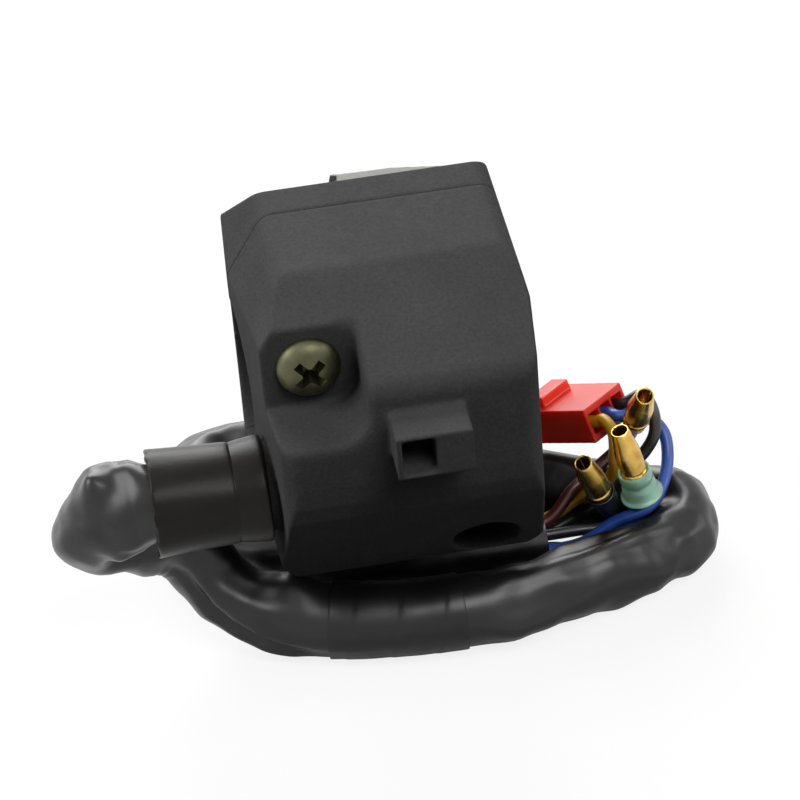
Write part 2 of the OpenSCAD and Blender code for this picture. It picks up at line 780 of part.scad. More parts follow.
module bullet_sleeve(b, r1, r2, l0, l1) {
    d = unit(b[1] - b[0]);
    translate(on_bullet(b, -l0)) rotate([0, acos(d.z), atan2(d.y, d.x)]) difference() {
        cylinder(r1 = r1, r2 = r2, h = l0 + l1);
        translate([0, 0, -1]) cylinder(r = wire_r + 0.25, h = l0 + 1);
        translate([0, 0, l0 - 0.02]) cylinder(r = bullet_r * 0.92 + 0.02, h = l1 + 1);
    }
}

module green_bullet_sleeve() {
    color([0.4, 0.7, 0.55, 0.6]) bullet_sleeve(bullet_b, 3.1, 2.4, 2, 3);
}

module black_bullet_sleeve() {
    color([0.05, 0.05, 0.05]) bullet_sleeve(bullet_c, 1.7, 2.2, 3.2, 2);
}

// Least gap between stretches of the sleeve that are far apart along it
sleeve_gap = min([
    for (i = [0 : len(sleeve_path) - 1])
        for (j = [i + 8 : len(sleeve_path) - 1])
            norm(sleeve_path[i] - sleeve_path[j]) - sleeve_d
]);
echo(sleeve_gap = sleeve_gap);

front_housing();
rear_housing();
housing_screws();
thread_inserts();
dimmer_rocker();
dimmer_pivot_pin();
dimmer_base();
dimmer_contacts();
turn_knob();
turn_carriage();
turn_base();
turn_contacts();
horn_button();
horn_spring();
horn_base();
horn_contact();
base_screws();
inner_loom();
outlet_boot();
harness_sleeve();
sleeve_tape();
yellow_wire();
blue_wire();
black_wire();
red_lead();
green_lead();
dark_lead();
connector_housing();
connector_terminals();
bullet_terminals();
green_bullet_sleeve();
black_bullet_sleeve();
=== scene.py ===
import bpy
import math
from mathutils import Matrix, Vector, noise


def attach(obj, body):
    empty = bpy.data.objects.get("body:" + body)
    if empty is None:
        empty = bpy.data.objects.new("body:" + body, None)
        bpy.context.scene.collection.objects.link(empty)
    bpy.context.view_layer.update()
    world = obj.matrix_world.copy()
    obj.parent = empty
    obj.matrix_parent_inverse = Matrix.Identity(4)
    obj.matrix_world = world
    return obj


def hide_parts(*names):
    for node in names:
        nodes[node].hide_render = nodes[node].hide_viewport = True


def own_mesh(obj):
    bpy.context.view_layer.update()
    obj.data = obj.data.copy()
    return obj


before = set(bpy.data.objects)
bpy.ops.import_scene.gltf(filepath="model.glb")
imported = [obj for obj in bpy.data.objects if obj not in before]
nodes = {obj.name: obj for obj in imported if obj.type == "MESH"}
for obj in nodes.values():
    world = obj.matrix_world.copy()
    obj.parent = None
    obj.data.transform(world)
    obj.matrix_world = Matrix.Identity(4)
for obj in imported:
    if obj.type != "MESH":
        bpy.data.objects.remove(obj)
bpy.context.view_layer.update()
mm = 0.001
mergeWithin = {"cadCopy": 0.000002, "lathe": 0.000004}  # points closer than this become one, in metres


# small tools

def hexToLinear(text):
    channels = [int(text[i:i + 2], 16) / 255 for i in (1, 3, 5)]
    return tuple(c / 12.92 if c <= 0.04045 else ((c + 0.055) / 1.055) ** 2.4 for c in channels) + (1.0,)


def pickOnly(obj):
    bpy.ops.object.select_all(action="DESELECT")
    obj.select_set(True)
    bpy.context.view_layer.objects.active = obj


def applyModifier(obj, kind, **settings):
    pickOnly(obj)
    modifier = obj.modifiers.new(kind.title(), kind)
    for key, value in settings.items():
        setattr(modifier, key, value)
    bpy.ops.object.modifier_apply(modifier=modifier.name)


def smoothShade(obj, degrees):
    pickOnly(obj)
    bpy.ops.object.shade_smooth_by_angle(angle=math.radians(degrees))


def settle(obj):
    # the piece's place goes into its mesh, as a CAD node's does
    pickOnly(obj)
    bpy.ops.object.transform_apply(location=True, rotation=True, scale=True)


def cadCopy(nodeName, pieceName):
    source = nodes[nodeName]
    mesh = source.data.copy()
    mesh.transform(source.matrix_world)
    piece = bpy.data.objects.new(pieceName, mesh)
    bpy.context.scene.collection.objects.link(piece)
    pickOnly(piece)
    bpy.ops.object.mode_set(mode="EDIT")
    bpy.ops.mesh.select_all(action="SELECT")
    bpy.ops.mesh.remove_doubles(threshold=mergeWithin["cadCopy"])
    bpy.ops.object.mode_set(mode="OBJECT")
    return piece


def placePiece(obj, body, material, replaced):
    obj.data.materials.clear()
    obj.data.materials.append(material)
    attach(obj, body)
    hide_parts(replaced)


def joinPieces(pieces, name):
    pickOnly(pieces[0])
    for other in pieces[1:]:
        other.select_set(True)
    bpy.ops.object.join()
    pieces[0].name = name
    pieces[0].data.name = name
    return pieces[0]


def aimAlong(obj, base, tip):
    # turns a piece made along Z so that it stands on base and points at tip
    direction = (tip - base).normalized()
    obj.matrix_world = Matrix.Translation(base) @ direction.to_track_quat("Z", "Y").to_matrix().to_4x4()
    settle(obj)


# materials

def addNode(tree, kind, settings=None, links=None):
    node = tree.nodes.new(kind)
    for key, value in (settings or {}).items():
        if isinstance(key, int) or key in node.inputs:
            node.inputs[key].default_value = value
        else:
            setattr(node, key, value)
    for key, socket in (links or {}).items():
        tree.links.new(socket, node.inputs[key])
    return node


def newMaterial(name, colour, roughness, metallic=0.0, **sockets):
    material = bpy.data.materials.new(name)
    material.use_nodes = True
    shader = material.node_tree.nodes["Principled BSDF"]
    shader.inputs["Base Color"].default_value = hexToLinear(colour)
    shader.inputs["Roughness"].default_value = roughness
    shader.inputs["Metallic"].default_value = metallic
    for key, value in sockets.items():
        shader.inputs[key.replace("_", " ")].default_value = value
    return material, material.node_tree, shader


noiseSpan = (0.3, 0.7)  # where most values of a noise lie


def surface(name, colour, roughness, tints, patchMm, grainMm, bumpMm, roughSpan, pitShade=0.0, **sockets):
    # broad patches in the colour and roughness, fine grain in the bump, and painted shade in the grain's pits
    material, tree, shader = newMaterial(name, colour, roughness, **sockets)
    where = addNode(tree, "ShaderNodeTexCoord").outputs["Object"]
    patches = addNode(
        tree, "ShaderNodeTexNoise", {"Scale": 1000 / patchMm, "Detail": 4.0, "Roughness": 0.6}, {"Vector": where})
    tint = addNode(tree, "ShaderNodeValToRGB", None, {"Fac": patches.outputs["Fac"]})
    for i in (0, 1):
        tint.color_ramp.elements[i].position = noiseSpan[i]
        tint.color_ramp.elements[i].color = hexToLinear(tints[i])
    sheen = addNode(
        tree, "ShaderNodeMapRange", {"To Min": roughSpan[0], "To Max": roughSpan[1]}, {"Value": patches.outputs["Fac"]})
    tree.links.new(sheen.outputs["Result"], shader.inputs["Roughness"])
    grain = addNode(
        tree, "ShaderNodeTexNoise", {"Scale": 1000 / grainMm, "Detail": 3.0, "Roughness": 0.7}, {"Vector": where})
    # painted shade and light: the pits of the grain are darkened and its peaks lightened in the colour
    pitShading = addNode(
        tree, "ShaderNodeMapRange",
        {"From Min": noiseSpan[0], "From Max": noiseSpan[1], "To Min": 1 - pitShade, "To Max": 1 + pitShade},
        {"Value": grain.outputs["Fac"]})
    # a Mix node's colours are its inputs 6 and 7 and its output 2
    tintWithPitShade = addNode(
        tree, "ShaderNodeMix", {"data_type": "RGBA", "blend_type": "MULTIPLY", "clamp_result": True, 0: 1.0},
        {6: tint.outputs["Color"], 7: pitShading.outputs["Result"]})
    tree.links.new(tintWithPitShade.outputs[2], shader.inputs["Base Color"])
    bump = addNode(
        tree, "ShaderNodeBump", {"Strength": 1.0, "Distance": bumpMm * mm}, {"Height": grain.outputs["Fac"]})
    tree.links.new(bump.outputs["Normal"], shader.inputs["Normal"])
    return material


# black ABS, moulded against a spark-eroded tool: hardly any shine, and an even grain, with painted shade in its pits
# and painted light on its peaks
# the grain is drawn coarser than the real one, so that it shows
mouldedAbs = surface(
    "mouldedAbs", "#494849", 0.7, ("#464546", "#4d4c4d"), patchMm=14, grainMm=0.5, bumpMm=0.12,
    roughSpan=(0.62, 0.74), pitShade=0.14, IOR=1.53, Specular_IOR_Level=0.004)

# black acetal of the slide knob, smoother than the housing
smoothAcetal = surface(
    "smoothAcetal", "#262626", 0.4, ("#242424", "#2a2a2a"), patchMm=9, grainMm=0.6, bumpMm=0.01,
    roughSpan=(0.34, 0.44), IOR=1.48)

# light grey ABS of the beam rocker, worn a little smooth
greyAbs = surface(
    "greyAbs", "#b0b1ab", 0.45, ("#aaaba5", "#b6b7b1"), patchMm=8, grainMm=0.5, bumpMm=0.012,
    roughSpan=(0.4, 0.52), IOR=1.53)

# yellow ABS of the horn button, glossier than the rocker
yellowAbs = surface(
    "yellowAbs", "#c9901c", 0.35, ("#c28a18", "#cf9622"), patchMm=8, grainMm=0.7, bumpMm=0.008,
    roughSpan=(0.3, 0.42), IOR=1.53)

# natural nylon of the slide's carriage: off-white, with a little light inside it
naturalNylon = surface(
    "naturalNylon", "#d8d4c8", 0.45, ("#d2cebf", "#dedad0"), patchMm=6, grainMm=0.7, bumpMm=0.01,
    roughSpan=(0.4, 0.5), IOR=1.53, Subsurface_Weight=0.1)

# brown paper phenolic board of the switch bases, with a faint laminate mottle
phenolicBoard = surface(
    "phenolicBoard", "#5b3a22", 0.5, ("#50321c", "#664228"), patchMm=3, grainMm=0.5, bumpMm=0.01,
    roughSpan=(0.42, 0.58), IOR=1.55)

# steel screws in olive passivated zinc: dull metal with a slow shift between green and straw
oliveZinc = surface(
    "oliveZinc", "#585843", 0.45, ("#4d4d39", "#64634d"), patchMm=3.5, grainMm=0.35, bumpMm=0.012,
    roughSpan=(0.4, 0.54), metallic=1.0)

# bright drawn steel of the spring, the pin and the small screws
drawnSteel = surface(
    "drawnSteel", "#b9babd", 0.28, ("#aeafb2", "#c4c5c8"), patchMm=4, grainMm=0.4, bumpMm=0.006,
    roughSpan=(0.22, 0.36), metallic=1.0)

# pressed brass: warm, polished by the press, slightly tarnished in patches
pressedBrass = surface(
    "pressedBrass", "#c9a24e", 0.24, ("#b28a3a", "#d8b564"), patchMm=2.2, grainMm=0.4, bumpMm=0.008,
    roughSpan=(0.16, 0.34), metallic=1.0)

# soft black PVC of the harness sleeve: thin and creased, with a satin gloss
softPvc = surface(
    "softPvc", "#161617", 0.32, ("#131314", "#1a1a1b"), patchMm=13, grainMm=0.9, bumpMm=0.012,
    roughSpan=(0.27, 0.37), IOR=1.53, Specular_IOR_Level=0.38)

# black PVC tape: darker than the sleeve and a little duller
pvcTape = surface(
    "pvcTape", "#0f0f0f", 0.25, ("#0c0c0c", "#131313"), patchMm=9, grainMm=0.9, bumpMm=0.012,
    roughSpan=(0.3, 0.4), IOR=1.53, Specular_IOR_Level=0.34)

# moulded EPDM boot: warm black with a weak gloss and a fine grain
epdmRubber = surface(
    "epdmRubber", "#151210", 0.36, ("#12100e", "#191613"), patchMm=6, grainMm=0.7, bumpMm=0.03,
    roughSpan=(0.3, 0.42), IOR=1.52, Specular_IOR_Level=0.15)

# glossy polypropylene of the connector: light inside it keeps its shaded sides red
redPolypropylene = surface(
    "redPolypropylene", "#e42e17", 0.3, ("#de2a13", "#ea331b"), patchMm=5, grainMm=0.8, bumpMm=0.012,
    roughSpan=(0.26, 0.38), IOR=1.49, Subsurface_Weight=0.4, Subsurface_Scale=0.004)

# clear green PVC sleeve of one bullet: light goes through it
clearGreenPvc = surface(
    "clearGreenPvc", "#c2ecd9", 0.22, ("#b4e6d0", "#d0f4e4"), patchMm=4, grainMm=1.0, bumpMm=0.015,
    roughSpan=(0.16, 0.28), IOR=1.5, Transmission_Weight=0.5)


def wireInsulation(name, dark, light):
    # extruded PVC on stranded copper: an even colour with a soft gloss
    return surface(
        name, light, 0.34, (dark, light), patchMm=5, grainMm=0.5, bumpMm=0.008, roughSpan=(0.28, 0.42), IOR=1.53)


yellowPvc = wireInsulation("yellowPvc", "#b98c12", "#c99a1c")
bluePvc = wireInsulation("bluePvc", "#22479f", "#2f5bb8")
blackPvc = wireInsulation("blackPvc", "#1b1b1c", "#242425")
redPvc = wireInsulation("redPvc", "#451612", "#521c17")
greenPvc = wireInsulation("greenPvc", "#2e7c4a", "#3a8b57")
print("materials ready")


# camera and light

cameraSpec = {
    "azimuth": -6.0, "elevation": 36.0, "roll": 5.0, "distance": 0.5, "target": (1.55, -5.0, -6.7),
    "focalPixels": 3535.0, "framePixels": 800, "sensorMm": 36, "clip": (0.01, 20),
}


def addCamera(spec):
    az, el, roll = (math.radians(spec[k]) for k in ("azimuth", "elevation", "roll"))
    back = Vector((math.sin(az) * math.cos(el), -math.cos(az) * math.cos(el), math.sin(el)))
    right = Vector((math.cos(az), math.sin(az), 0))
    up = back.cross(right)
    turnedRight = right * math.cos(roll) - up * math.sin(roll)
    turnedUp = right * math.sin(roll) + up * math.cos(roll)
    camera = bpy.data.objects.new("photoCamera", bpy.data.cameras.new("photoCamera"))
    bpy.context.scene.collection.objects.link(camera)
    place = Vector(spec["target"]) * mm + back * spec["distance"]
    axes = Matrix((turnedRight, turnedUp, back)).transposed()
    camera.matrix_world = Matrix.Translation(place) @ axes.to_4x4()
    camera.data.sensor_width = spec["sensorMm"]
    camera.data.lens = spec["sensorMm"] * spec["focalPixels"] / spec["framePixels"]
    camera.data.clip_start, camera.data.clip_end = spec["clip"]
    bpy.context.scene.camera = camera


addCamera(cameraSpec)


def raysThatShow(tree):
    # 1 for what the camera sees, also in metal and through glass, and 0 for what lights the object
    path = addNode(tree, "ShaderNodeLightPath")
    seen = addNode(
        tree, "ShaderNodeMath", {"operation": "MAXIMUM"},
        {0: path.outputs["Is Camera Ray"], 1: path.outputs["Is Glossy Ray"]})
    seenToo = addNode(
        tree, "ShaderNodeMath", {"operation": "MAXIMUM"},
        {0: seen.outputs[0], 1: path.outputs["Is Transmission Ray"]})
    return path, seenToo.outputs[0]


floorSpec = {"height": -36.45, "size": 8.0, "seen": "#ffffff", "bounce": 0.02, "glow": 0.84, "roughness": 0.9}


def addFloor(spec):
    bpy.ops.object.select_all(action="DESELECT")
    bpy.ops.mesh.primitive_plane_add(size=spec["size"], location=(0, 0, spec["height"] * mm))
    floor = bpy.context.object
    floor.name = "studioFloor"
    settle(floor)
    # painted board: white to the eye, but with little light thrown back up at the black housing
    material, tree, shader = newMaterial("paintedBoard", spec["seen"], spec["roughness"])
    path, shows = raysThatShow(tree)
    shade = addNode(tree, "ShaderNodeMix", {"data_type": "RGBA"}, {"Factor": shows})
    shade.inputs[6].default_value = (spec["bounce"],) * 3 + (1,)
    shade.inputs[7].default_value = hexToLinear(spec["seen"])
    tree.links.new(shade.outputs[2], shader.inputs["Base Color"])
    # the board glows towards the camera, so that only a faint shadow is left on it
    glow = addNode(
        tree, "ShaderNodeMath", {"operation": "MULTIPLY", 1: spec["glow"]}, {0: path.outputs["Is Camera Ray"]})
    bright = addNode(tree, "ShaderNodeEmission", {"Strength": 1.0})
    blend = addNode(
        tree, "ShaderNodeMixShader", None,
        {"Fac": glow.outputs[0], 1: shader.outputs["BSDF"], 2: bright.outputs["Emission"]})
    tree.links.new(blend.outputs["Shader"], tree.nodes["Material Output"].inputs["Surface"])
    floor.data.materials.append(material)


addFloor(floorSpec)

lightSpec = {
    "backBox": {"at": (-0.1, 1.2, 0.72), "size": 1.1, "watts": 23},
    "frontBox": {"at": (0.3, -0.72, 1.1), "size": 0.6, "watts": 7.5},
    "leftBox": {"at": (-1.2, 0.0, 0.8), "size": 0.8, "watts": 12},
    "rightBox": {"at": (1.2, -0.1, 0.6), "size": 0.8, "watts": 4.5},
}
worldSpec = {"lit": 0.04, "seen": 1.0}  # strength that lights the object, and strength that shows


def addLights(spec):
    for name, box in spec.items():
        data = bpy.data.lights.new(name, "AREA")
        data.shape = "SQUARE"
        data.size = box["size"]
        data.energy = box["watts"]
        light = bpy.data.objects.new(name, data)
        bpy.context.scene.collection.objects.link(light)
        light.location = box["at"]
        light.rotation_euler = (-Vector(box["at"])).to_track_quat("-Z", "Y").to_euler()


def addWorld(spec):
    world = bpy.data.worlds.new("studio")
    bpy.context.scene.world = world
    world.use_nodes = True
    tree = world.node_tree
    shows = raysThatShow(tree)[1]
    strength = addNode(tree, "ShaderNodeMapRange", {"To Min": spec["lit"], "To Max": spec["seen"]}, {"Value": shows})
    background = tree.nodes["Background"]
    background.inputs["Color"].default_value = (1, 1, 1, 1)
    tree.links.new(strength.outputs["Result"], background.inputs["Strength"])


addLights(lightSpec)
addWorld(worldSpec)
bpy.context.scene.view_settings.view_transform = "Standard"
print("camera, floor and light ready")


# routes, as in the part's source

def spline(points, steps):
    p = [Vector(q) for q in points]
    out = []
    for i in range(len(p) - 1):
        a, b, c, d = p[max(i - 1, 0)], p[i], p[i + 1], p[min(i + 2, len(p) - 1)]
        for k in range(steps):
            t = k / steps
            square = (2 * a - 5 * b + 4 * c - d) * t * t
            cube = (3 * b - a - 3 * c + d) * t * t * t
            out.append(0.5 * (2 * b + (c - a) * t + square + cube))
    out.append(p[-1])
    return out


def softened(points):
    middle = [(points[i - 1] + 2 * points[i] + points[i + 1]) / 4 for i in range(1, len(points) - 1)]
    return [points[0]] + middle + [points[-1]]


def pathLength(points):
    return sum((b - a).length for a, b in zip(points, points[1:]))


def ringFrames(points):
    last = len(points) - 1
    tangents = [(points[min(i + 1, last)] - points[max(i - 1, 0)]).normalized() for i in range(last + 1)]
    normal = Vector((0.1, 0.2, 1))  # no route starts out along this
    frames = []
    for t in tangents:
        normal = (normal - t * normal.dot(t)).normalized()
        frames.append((t, normal.copy(), t.cross(normal)))
    return frames


def makeTube(name, rings):
    # rings of points in millimetres, closed at both ends
    mesh = bpy.data.meshes.new(name)
    sides = len(rings[0])
    faces = []
    for i in range(len(rings) - 1):
        for j in range(sides):
            k = (j + 1) % sides
            faces.append((i * sides + j, i * sides + k, (i + 1) * sides + k, (i + 1) * sides + j))
    faces.append(tuple(range(sides - 1, -1, -1)))
    faces.append(tuple((len(rings) - 1) * sides + j for j in range(sides)))
    mesh.from_pydata([tuple(q * mm) for ring in rings for q in ring], [], faces)
    tube = bpy.data.objects.new(name, mesh)
    bpy.context.scene.collection.objects.link(tube)
    return tube


def bell(value, middle, width):
    return math.exp(-((value - middle) / width) ** 2)


def ripple(place, wave):
    scale, seed, height = wave
    return noise.noise(place * scale + Vector(seed)) * height


def across(side, t):
    # the part of a direction that lies in the plane of a ring
    return (Vector(side) - t * t.dot(Vector(side))).normalized()


# harness sleeve: thin PVC tube, flat at the elbow, creased on the front strand, crumpled where it turns

sleeveSpec = {
    "diameter": 10.4, "sides": 56, "steps": 3, "finer": 4, "floor": -36.4,
    "elbowAt": (-38.3, -18.3, -10.8), "elbowSide": (0, 0.55, -0.835), "foldAt": (34.4, -10.8, -31.2),
    "turnRadius": 6.2,
    "mouth": [(0.0, 0.7), (3.0, 0.9), (7.0, 1.6)],  # the wall goes back inside: how deep and how far in, mm
    "tape": (16.0, 18.0), "tapeFade": 0.6, "underTape": 0.3,  # stretch under the tape, in route points
    "boot": 2.6, "bootFade": 1.2,  # stretch inside the boot, in route points
    # flat at the elbow: place and reach in route points, growth along the view's up and loss across it
    "elbowFold": {"at": 4.6, "reach": 1.7, "up": (0, 0.6, 0.8), "taller": 0.34, "thinner": 0.3},
    # waves of the surface: scale per mm, seed, height in mm
    "broad": (0.09, (3, 7, 1), 0.75), "middle": (0.21, (9, 2, 5), 0.5),
    # waves along the sleeve: scale per route point and round the ring
    "lengthwise": (1, (2, 5, 3), 0.55), "lengthScale": 0.55, "roundScale": 1.5,
    # a bend is measured over some rings each way, and is full at a depth in mm
    "bendRings": 6, "bendFull": 2.4, "bendLeast": 0.05,
    # pleats on the inside of a bend
    "pleats": {"perPoint": 1.3, "shift": (0.15, (0, 0, 0), 3), "narrow": 1.5, "depth": 0.9},
    # dents and bulges: place in mm, reach in mm, push in mm
    "pushes": [
        ((-44.4, -21.0, -0.6), 2.3, (-0.4, 0.3, 2.5)),
        ((-40.4, -21.6, -0.4), 2.6, (0.0, 0.0, -0.8)),
        ((-17.2, -19.5, -24.8), 3.6, (0.0, 0.4, 1.3)),
        ((30.0, -21.5, -36.0), 4.5, (0.0, -0.8, 0.0)),
        ((40.0, -19.6, -34.0), 3.6, (0.2, -0.8, -0.3)),
        ((14.0, -28.0, -33.0), 4.5, (0.0, -0.9, -0.2)),
        ((-47.0, -19.5, -8.0), 4.0, (1.0, 0.0, 0.0)),
        ((-44.0, -19.5, -15.5), 2.6, (-0.7, 0.0, -0.9)),
    ],
    "pushCutOff": 3,  # reaches past which a push isn't felt
    # sharp crumples: place and reach in route points, depth, and their ridges as waves
    "crumples": [(4.8, 2.4, 0.4), (10.6, 2.0, 0.35), (24.6, 3.2, 0.5), (36.0, 3.0, 0.4)], "crumpleAll": 0.16,
    "ridgeTop": 0.44, "ridges": [(0.12, (4, 8, 2), 1.7), (0.24, (1, 6, 9), 0.5)],
    # creases: place and reach in route points, side that they lie on, width, height in mm
    "creases": [
        (14.2, 2.0, (0.0, -0.9, -0.44), 0.018, -1.3),
        (21.0, 2.0, (0.0, -0.25, 0.97), 0.018, 0.7),
    ],
}


def elbowPoint(spec, degrees):
    a = math.radians(degrees)
    arm = Vector(spec["elbowSide"]) * math.cos(a) + Vector((1, 0, 0)) * math.sin(a)
    return Vector(spec["elbowAt"]) - spec["turnRadius"] * arm


def foldPoint(spec, degrees):
    a = math.radians(degrees)
    return Vector(spec["foldAt"]) + spec["turnRadius"] * Vector((math.cos(a), math.sin(a), 0))


sleeveRoute = [(-26.2, -22, -5.5), (-29, -22, -5.5), (-32, -22, -5.5), (-35.2, -21.9, -5.5)]
sleeveRoute += [elbowPoint(sleeveSpec, a) for a in range(0, 151, 30)]
sleeveRoute += [
    (-38.2, -14.4, -16.4), (-34.6, -13.4, -17.6), (-31, -13.4, -20.4), (-28.6, -15, -24.6),
    (-25, -17, -28.2), (-19.6, -19.2, -30.6), (-12.8, -21.4, -31.2), (-3.4, -23.2, -31.2),
    (5.6, -23.8, -31.2), (16, -22.6, -31.2), (25.4, -20.2, -31.2), (30.4, -18.8, -31.2),
    (33.4, -17.7, -31.2),
]
sleeveRoute += [foldPoint(sleeveSpec, a) for a in range(-70, 81, 30)]
sleeveRoute += [
    (32.6, -3.9, -31.2), (29.6, -2.2, -31.2), (26, 0.6, -31.2), (20, 3.8, -31.2),
    (12, 7.6, -31.2), (-1, 13.8, -31.2), (-12, 19, -31.2), (-20.6, 21.6, -31.2),
    (-27.2, 18.6, -31.2), (-29.8, 11, -31.2), (-27, 2.6, -31.2), (-20, -3.4, -31.2),
    (-8, -7, -31.2), (4, -8.8, -31.2), (13, -9.2, -31.2), (20, -9, -31.2),
]
sleevePath = softened(softened(softened(spline(sleeveRoute, sleeveSpec["steps"]))))


def sleeveSurface(spec, points, extra=0.0):
    frames = ringFrames(points)
    fold, pleats = spec["elbowFold"], spec["pleats"]
    r = spec["diameter"] / 2
    perPoint = spec["steps"] * spec["finer"]
    rings = []
    for i, p in enumerate(points):
        along = i / perPoint
        t, n, b = frames[i]
        before = points[max(i - spec["bendRings"], 0)]
        after = points[min(i + spec["bendRings"], len(points) - 1)]
        bend = (before + after) * 0.5 - p
        bendSize = min(bend.length / spec["bendFull"], 1.0)
        # smooth inside the boot, and nearly so under the tape
        calm = min(1.0, max(0.0, (along - spec["boot"]) / spec["bootFade"]))
        nearTape = max(spec["tape"][0] - along, along - spec["tape"][1], 0.0)
        calm *= spec["underTape"] + (1 - spec["underTape"]) * min(1.0, nearTape / spec["tapeFade"])
        flat = bell(along, fold["at"], fold["reach"])
        crumpled = spec["crumpleAll"] + sum(depth * bell(along, at, reach) for at, reach, depth in spec["crumples"])
        creases = []
        for at, reach, side, width, height in spec["creases"]:
            creases.append((height * bell(along, at, reach), across(side, t), width))
        tall = across(fold["up"], t)
        thin = t.cross(tall)
        ring = []
        for j in range(spec["sides"]):
            a = 2 * math.pi * j / spec["sides"]
            outward = n * math.cos(a) + b * math.sin(a)
            place = p + outward * r
            unrolled = Vector((
                along * spec["lengthScale"], math.cos(a) * spec["roundScale"], math.sin(a) * spec["roundScale"]))
            waves = ripple(place, spec["broad"]) + ripple(place, spec["middle"]) + ripple(unrolled, spec["lengthwise"])
            inside = max(0.0, outward.dot(bend.normalized())) if bend.length > spec["bendLeast"] else 0.0
            phase = along * 2 * math.pi * pleats["perPoint"] + ripple(p, pleats["shift"])
            pleat = bendSize * inside ** pleats["narrow"] * (0.5 + 0.5 * math.sin(phase)) * pleats["depth"]
            crease = sum(size * bell(outward.dot(side), 1.0, width) for size, side, width in creases)
            ridged = spec["ridgeTop"] - sum(abs(ripple(place, wave)) for wave in spec["ridges"])
            radius = r + extra + calm * (waves - pleat + crease + ridged * crumpled)
            q = p + outward * radius
            stretch = (q - p).dot(tall) * fold["taller"]
            squeeze = (q - p).dot(thin) * fold["thinner"]
            q += tall * stretch * flat * calm - thin * squeeze * flat * calm
            for centre, reach, push in spec["pushes"]:
                away = (q - Vector(centre)).length
                if away < spec["pushCutOff"] * reach:
                    q += Vector(push) * bell(away, 0.0, reach)
            q.z = max(q.z, spec["floor"])
            ring.append(q)
        rings.append(ring)
    return rings, frames


def makeSleeve(spec):
    points = spline(sleevePath, spec["finer"])
    rings, frames = sleeveSurface(spec, points)
    last = len(points) - 1
    t = frames[last][0]
    # open mouth at the far end: the wall turns in and goes back inside
    for depth, shrink in spec["mouth"]:
        rings.append([q + (points[last] - q).normalized() * shrink - t * depth for q in rings[last]])
    sleeve = makeTube("harnessSleeve", rings)
    smoothShade(sleeve, 60)
    return sleeve, points


sleeve, sleeveLine = makeSleeve(sleeveSpec)
placePiece(sleeve, "housing", softPvc, "harness_sleeve")
print("sleeve ready, length", round(pathLength(sleeveLine), 1), "mm")


# tape: three turns wound at a slant, each lapping over the last

tapeSpec = {
    "thickness": 0.28, "lap": 0.09, "turns": 3, "sides": 96, "rings": 120,
    "edge": 0.14,  # part of a turn in which the lap rises
    "sink": 0.04, "turnIn": 0.6,  # how far below the sleeve it may lie, and how far its ends go in, mm
}


def makeTape(spec, sleeveSize):
    points = spline(sleevePath, sleeveSize["finer"])
    perPoint = sleeveSize["steps"] * sleeveSize["finer"]
    first, last = (int(a * perPoint) for a in sleeveSize["tape"])
    skin = dict(sleeveSize, sides=spec["sides"])
    skinRings = sleeveSurface(skin, points, spec["thickness"])[0][first:last + 1]
    count = len(skinRings) - 1
    rings = []
    for k in range(spec["rings"] + 1):
        place = k / spec["rings"] * count
        i = min(int(place), count - 1)
        f = place - i
        middle = points[first + i].lerp(points[first + i + 1], f)
        ring = []
        for j in range(spec["sides"]):
            q = skinRings[i][j].lerp(skinRings[i + 1][j], f)
            slant = k / spec["rings"] * spec["turns"] + j / spec["sides"]
            step = slant % 1.0
            edge = min(1.0, step / spec["edge"])
            lift = spec["lap"] * (1 - step) * edge * edge * (3 - 2 * edge) if 0 < k < spec["rings"] else 0.0
            q = q + (q - middle).normalized() * lift
            q.z = max(q.z, sleeveSize["floor"] - spec["sink"])
            ring.append(q)
        rings.append(ring)
    startIn, endIn = (
        [q + (points[end] - q).normalized() * spec["turnIn"] for q in ring]
        for ring, end in ((rings[0], first), (rings[-1], last)))
    tape = makeTube("sleeveTape", [startIn] + rings + [endIn])
    smoothShade(tape, 40)
    return tape


tape = makeTape(tapeSpec, sleeveSpec)
placePiece(tape, "housing", pvcTape, "sleeve_tape")
print("tape ready")


# wires: fine PVC tubes out of the sleeve's mouth to the connector and the bullets

bulletSpec = {  # base and tip of each bullet terminal
    "a": ((35.1, -4.5, -17.6), (35.7, -10.4, -8.4)),
    "b": ((33.9, -12.6, -22.2), (31.3, -13.4, -11.5)),
    "c": ((28.9, -11.5, -24.5), (25.5, -15.3, -14.8)),
}
connectorSpec = {"at": (28.9, 3.3, -20), "pitch": 24, "yaw": -50, "cavityPitch": 2.6, "voxelMm": 0.12, "rounds": 5}
wireSpec = {
    "diameter": 1.8, "sides": 20, "steps": 10,
    "wobble": 0.02, "wobbleScale": 0.5, "trim": 0.82,  # unevenness, its scale per mm, and the cut end's width
}


def onConnector(x, y, z):
    pitch, yaw = math.radians(-connectorSpec["pitch"]), math.radians(connectorSpec["yaw"])
    tiltedX = x * math.cos(pitch) + z * math.sin(pitch)
    tiltedZ = -x * math.sin(pitch) + z * math.cos(pitch)
    turnedX = tiltedX * math.cos(yaw) - y * math.sin(yaw)
    turnedY = tiltedX * math.sin(yaw) + y * math.cos(yaw)
    return Vector(connectorSpec["at"]) + Vector((turnedX, turnedY, tiltedZ))


def onBullet(which, s):
    base, tip = (Vector(q) for q in bulletSpec[which])
    return base + (tip - base).normalized() * s


